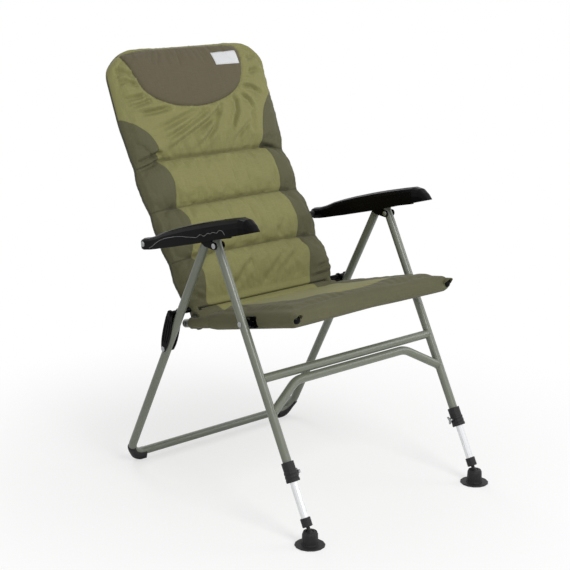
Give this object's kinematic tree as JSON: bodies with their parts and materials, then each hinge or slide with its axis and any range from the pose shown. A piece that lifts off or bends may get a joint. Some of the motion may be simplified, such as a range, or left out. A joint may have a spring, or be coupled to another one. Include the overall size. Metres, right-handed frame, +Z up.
{
  "type": "folding padded fishing chair",
  "caption": "Folding padded armchair on a tube frame, with ratchet armrests that set the recline, telescopic front legs and swivel feet.",
  "frame": {"origin": "on the ground, on the chair's middle plane, midway between the foremost and the rearmost point", "axes": "+Z up, -Y the way the sitter faces, +X towards the sitter's left hand"},
  "size_m": [0.6642, 0.8882, 1.0833],
  "materials": {
    "green_paint": "semi-gloss grey-green powder coat",
    "black_moulding": "glossy black moulded plastic",
    "matt_black": "matt black moulded plastic",
    "bare_aluminium": "bright drawn aluminium",
    "zinc": "zinc plated steel",
    "olive_fabric": "light and dark olive woven polyester over padding",
    "dark_fabric": "dark olive knitted fleece over padding"
  },
  "bodies": {
    "front_legs": {"front_leg_left": "green_paint", "front_leg_right": "green_paint", "leg_head_left": "black_moulding", "leg_head_right": "black_moulding", "ratchet_pin_left": "zinc", "ratchet_pin_right": "zinc", "leg_pivot_rivet_left": "zinc", "leg_pivot_rivet_right": "zinc", "seat_pivot_rivet_left": "zinc", "seat_pivot_rivet_right": "zinc", "leg_collar_left": "matt_black", "leg_collar_right": "matt_black", "upper_crossbar": "green_paint", "lower_brace": "green_paint"},
    "rear_legs": {"rear_leg_frame": "green_paint", "rear_knuckle_left": "black_moulding", "rear_knuckle_right": "black_moulding", "rear_shoe_left": "matt_black", "rear_shoe_right": "matt_black", "link_rivet_left": "zinc", "link_rivet_right": "zinc"},
    "seat": {"seat_tube_left": "green_paint", "seat_tube_right": "green_paint", "seat_tube_plug_left": "black_moulding", "seat_tube_plug_right": "black_moulding", "seat_pivot_block_left": "black_moulding", "seat_pivot_block_right": "black_moulding", "hinge_rivet_left": "zinc", "hinge_rivet_right": "zinc", "seat_cushion": "olive_fabric"},
    "hinge_washers": {"hinge_washer_left": "matt_black", "hinge_washer_right": "matt_black", "hinge_fold": "olive_fabric"},
    "back": {"back_frame": "green_paint", "back_tube_plug_left": "black_moulding", "back_tube_plug_right": "black_moulding", "link_stud_left": "black_moulding", "link_stud_right": "black_moulding", "armrest_bolt_left": "zinc", "armrest_bolt_right": "zinc", "back_cushion": "olive_fabric", "headrest_pillow": "dark_fabric"},
    "link_left": {"folding_link_left": "black_moulding", "link_bolt_left": "black_moulding"},
    "bush_left": {"armrest_bush_left": "matt_black"},
    "arm_left": {"armrest_left": "black_moulding"},
    "extension_left": {"extension_leg_left": "bare_aluminium", "end_sleeve_left": "matt_black", "ball_stud_left": "matt_black"},
    "foot_left": {"swivel_foot_left": "matt_black"},
    "wing_left": {"wing_screw_left": "zinc"},
    "link_right": {"folding_link_right": "black_moulding", "link_bolt_right": "black_moulding"},
    "bush_right": {"armrest_bush_right": "matt_black"},
    "arm_right": {"armrest_right": "black_moulding"},
    "extension_right": {"extension_leg_right": "bare_aluminium", "end_sleeve_right": "matt_black", "ball_stud_right": "matt_black"},
    "foot_right": {"swivel_foot_right": "matt_black"},
    "wing_right": {"wing_screw_right": "zinc"}
  },
  "joints": [
    {"name": "leg_fold", "type": "hinge", "parent": "front_legs", "child": "rear_legs", "pos_m": [0, -0.07198, 0.66553], "axis": [-1, 0, 0], "range_deg": [0, 50]},
    {"name": "seat_fold", "type": "hinge", "parent": "front_legs", "child": "seat", "pos_m": [0, -0.16451, 0.48992], "axis": [-1, 0, 0], "range_deg": [0, 62.6]},
    {"name": "back_fold", "type": "hinge", "parent": "seat", "child": "hinge_washers", "pos_m": [0, 0.08063, 0.43152], "axis": [-1, 0, 0], "range_deg": [-61.6, 0]},
    {"name": "back_recline", "type": "hinge", "parent": "hinge_washers", "child": "back", "pos_m": [0, 0.08063, 0.43152], "axis": [-1, 0, 0], "range_deg": [0, 21.8]},
    {"name": "link_fold_left", "type": "hinge", "parent": "rear_legs", "child": "link_left", "pos_m": [0.296, 0.12777, 0.3618], "axis": [-1, 0, 0], "range_deg": [0, 84.5]},
    {"name": "bush_turn_left", "type": "hinge", "parent": "back", "child": "bush_left", "pos_m": [0.266, 0.20614, 0.62187], "axis": [-1, 0, 0], "range_deg": [-15.5, 0.5]},
    {"name": "armrest_fold_left", "type": "hinge", "parent": "bush_left", "child": "arm_left", "pos_m": [0.296, 0.20614, 0.62187], "axis": [-1, 0, 0], "range_deg": [0, 56.1]},
    {"name": "leg_extension_left", "type": "slide", "parent": "front_legs", "child": "extension_left", "axis": [0, -0.4661, -0.8847], "range_m": [-0.085, 0.06]},
    {"name": "foot_tilt_left", "type": "hinge", "parent": "extension_left", "child": "foot_left", "pos_m": [0.296, -0.40711, 0.0295], "axis": [1, 0, 0], "range_deg": [-50, 3]},
    {"name": "wing_turn_left", "type": "hinge", "parent": "front_legs", "child": "wing_left", "pos_m": [0.296, -0.33862, 0.15948], "axis": [-1, 0, 0], "range_deg": [0, 180]},
    {"name": "link_fold_right", "type": "hinge", "parent": "rear_legs", "child": "link_right", "pos_m": [-0.296, 0.12777, 0.3618], "axis": [-1, 0, 0], "range_deg": [0, 84.5]},
    {"name": "bush_turn_right", "type": "hinge", "parent": "back", "child": "bush_right", "pos_m": [-0.266, 0.20614, 0.62187], "axis": [-1, 0, 0], "range_deg": [-15.5, 0.5]},
    {"name": "armrest_fold_right", "type": "hinge", "parent": "bush_right", "child": "arm_right", "pos_m": [-0.296, 0.20614, 0.62187], "axis": [-1, 0, 0], "range_deg": [0, 56.1]},
    {"name": "leg_extension_right", "type": "slide", "parent": "front_legs", "child": "extension_right", "axis": [0, -0.4661, -0.8847], "range_m": [-0.085, 0.06]},
    {"name": "foot_tilt_right", "type": "hinge", "parent": "extension_right", "child": "foot_right", "pos_m": [-0.296, -0.40711, 0.0295], "axis": [1, 0, 0], "range_deg": [-50, 3]},
    {"name": "wing_turn_right", "type": "hinge", "parent": "front_legs", "child": "wing_right", "pos_m": [-0.296, -0.33862, 0.15948], "axis": [1, 0, 0], "range_deg": [0, 180]}
  ],
  "couplings": [
    {"joint": "seat_fold", "follows": "leg_fold", "ratio": 1.2412},
    {"joint": "back_fold", "follows": "leg_fold", "ratio": -1.2216},
    {"joint": "link_fold_left", "follows": "leg_fold", "ratio": 1.6806},
    {"joint": "armrest_fold_left", "follows": "leg_fold", "ratio": 1.112},
    {"joint": "bush_turn_left", "follows": "back_recline", "ratio": -0.69},
    {"joint": "link_fold_right", "follows": "leg_fold", "ratio": 1.6806},
    {"joint": "armrest_fold_right", "follows": "leg_fold", "ratio": 1.112},
    {"joint": "bush_turn_right", "follows": "back_recline", "ratio": -0.69}
  ]
}
